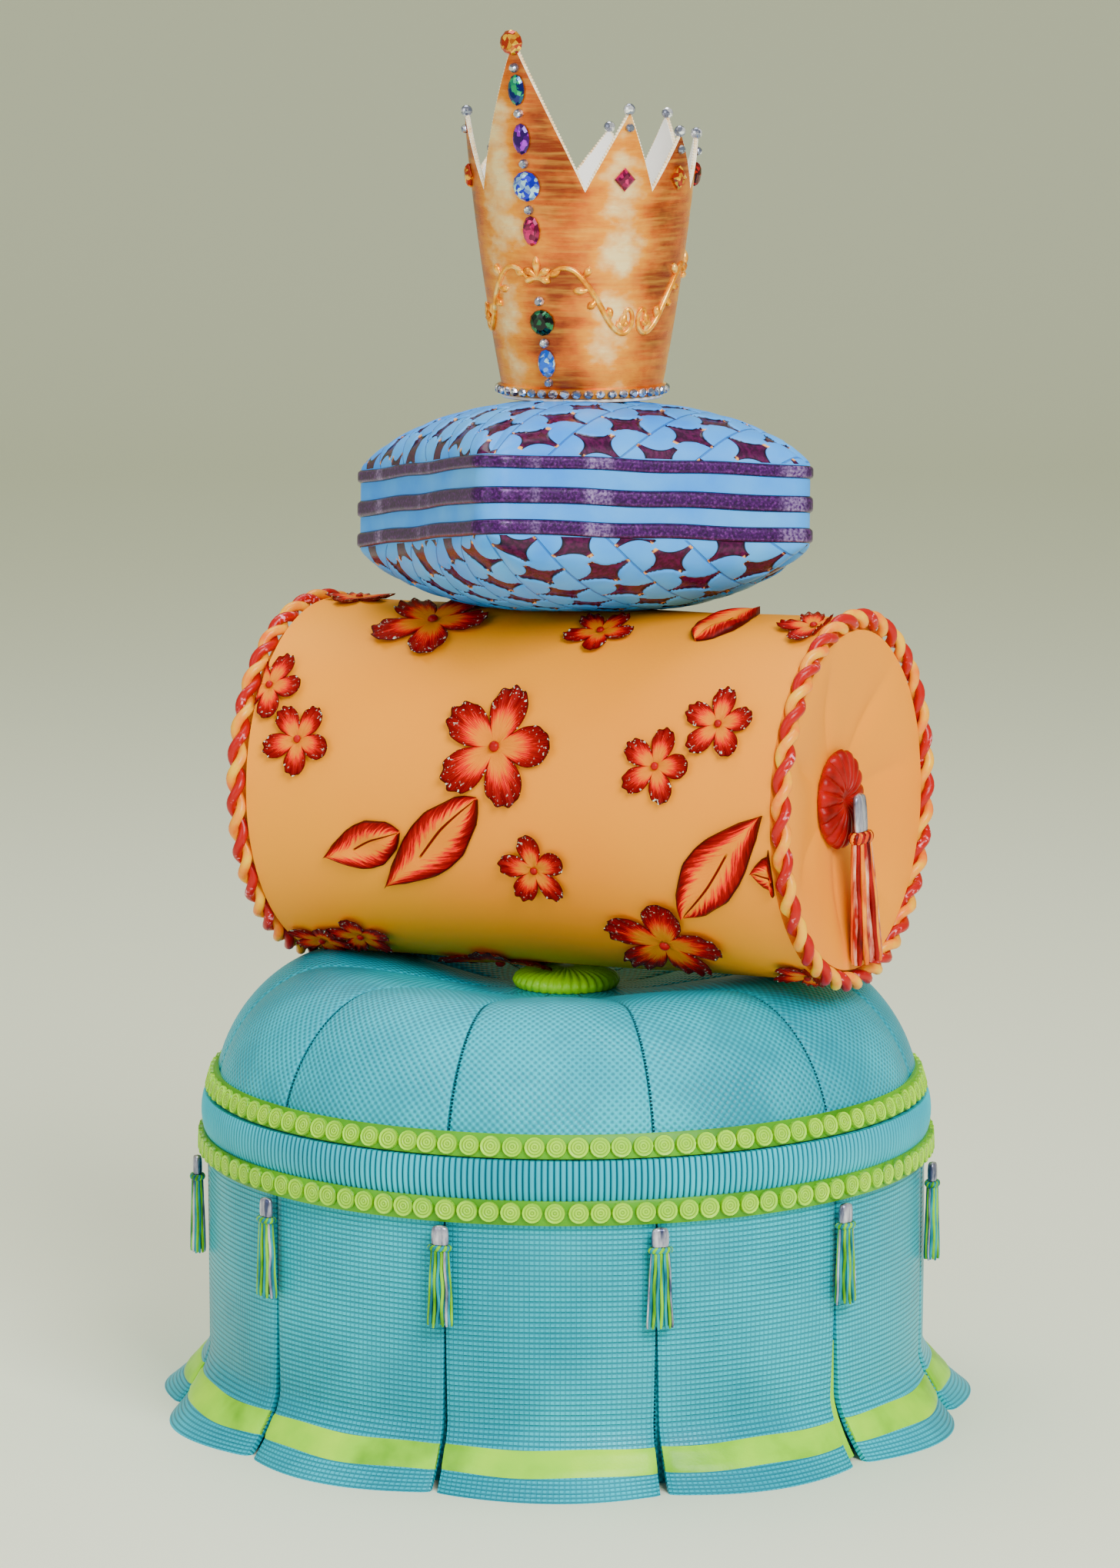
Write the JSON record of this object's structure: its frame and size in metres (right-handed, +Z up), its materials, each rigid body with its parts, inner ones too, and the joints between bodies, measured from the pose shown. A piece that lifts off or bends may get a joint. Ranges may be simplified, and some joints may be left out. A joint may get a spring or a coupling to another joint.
{
  "type": "wedding cake",
  "caption": "Tiered celebration cake in sugar paste: a tasselled pouf carries a corded bolster, a quilted box pillow and a gold crown.",
  "frame": {"origin": "middle of the cake's flat underside, on the axis of its round lowest tier, which is where it rests", "axes": "+Z up, -Y towards the front of the cake, +X to the right of the front"},
  "size_m": [0.4321, 0.4305, 0.7254],
  "materials": {
    "teal_paste": "teal sugar paste with a woven emboss, satin",
    "lime_paste": "lime sugar paste, satin",
    "tassel_paste": "thin rolled strands of sugar paste under a silver painted cap",
    "orange_paste": "orange-yellow sugar paste, satin",
    "red_paste": "red sugar paste with a little pearl dust, satin",
    "brushed_petal": "orange paste brushed red towards its edges, with glitter",
    "blue_paste": "pale blue sugar paste with recessed purple stars, satin",
    "pearl_purple": "purple sugar paste with pearl dust, glossy",
    "gold_leaf": "brushed gold and copper leaf outside, white inside, set with stones",
    "white_paste": "white sugar paste, satin"
  },
  "bodies": {
    "root": {"pouf_cake": "teal_paste", "skirt_panel_01": "teal_paste", "skirt_panel_02": "teal_paste", "skirt_panel_03": "teal_paste", "skirt_panel_04": "teal_paste", "skirt_panel_05": "teal_paste", "skirt_panel_06": "teal_paste", "skirt_panel_07": "teal_paste", "skirt_panel_08": "teal_paste", "skirt_panel_09": "teal_paste", "skirt_panel_10": "teal_paste", "skirt_panel_11": "teal_paste", "ribbed_band": "teal_paste", "lower_trim": "lime_paste", "upper_trim": "lime_paste", "top_button": "lime_paste", "skirt_tassel_01": "tassel_paste", "skirt_tassel_02": "tassel_paste", "skirt_tassel_03": "tassel_paste", "skirt_tassel_04": "tassel_paste", "skirt_tassel_05": "tassel_paste", "skirt_tassel_06": "tassel_paste", "skirt_tassel_07": "tassel_paste", "skirt_tassel_08": "tassel_paste", "skirt_tassel_09": "tassel_paste", "skirt_tassel_10": "tassel_paste", "skirt_tassel_11": "tassel_paste", "bolster": "orange_paste", "rope_left_red": "red_paste", "rope_left_orange": "orange_paste", "end_button_left": "red_paste", "end_tassel_left": "tassel_paste", "rope_right_red": "red_paste", "rope_right_orange": "orange_paste", "end_button_right": "red_paste", "end_tassel_right": "tassel_paste", "flower_big_front": "brushed_petal", "flower_big_low": "brushed_petal", "flower_big_top": "brushed_petal", "flower_big_back": "brushed_petal", "flower_left": "brushed_petal", "flower_rope_left": "brushed_petal", "flower_mid": "brushed_petal", "flower_right": "brushed_petal", "flower_low": "brushed_petal", "flower_pillow": "brushed_petal", "flower_rope_right": "brushed_petal", "flower_top_left": "brushed_petal", "leaf_big_front": "brushed_petal", "leaf_small_front": "brushed_petal", "leaf_big_right": "brushed_petal", "leaf_small_right": "brushed_petal", "leaf_top": "brushed_petal", "leaf_back": "brushed_petal", "pillow": "blue_paste", "pillow_stripe_top": "pearl_purple", "pillow_stripe_mid": "pearl_purple", "pillow_stripe_low": "pearl_purple", "crown": "gold_leaf", "crown_plate": "white_paste"}
  },
  "joints": []
}
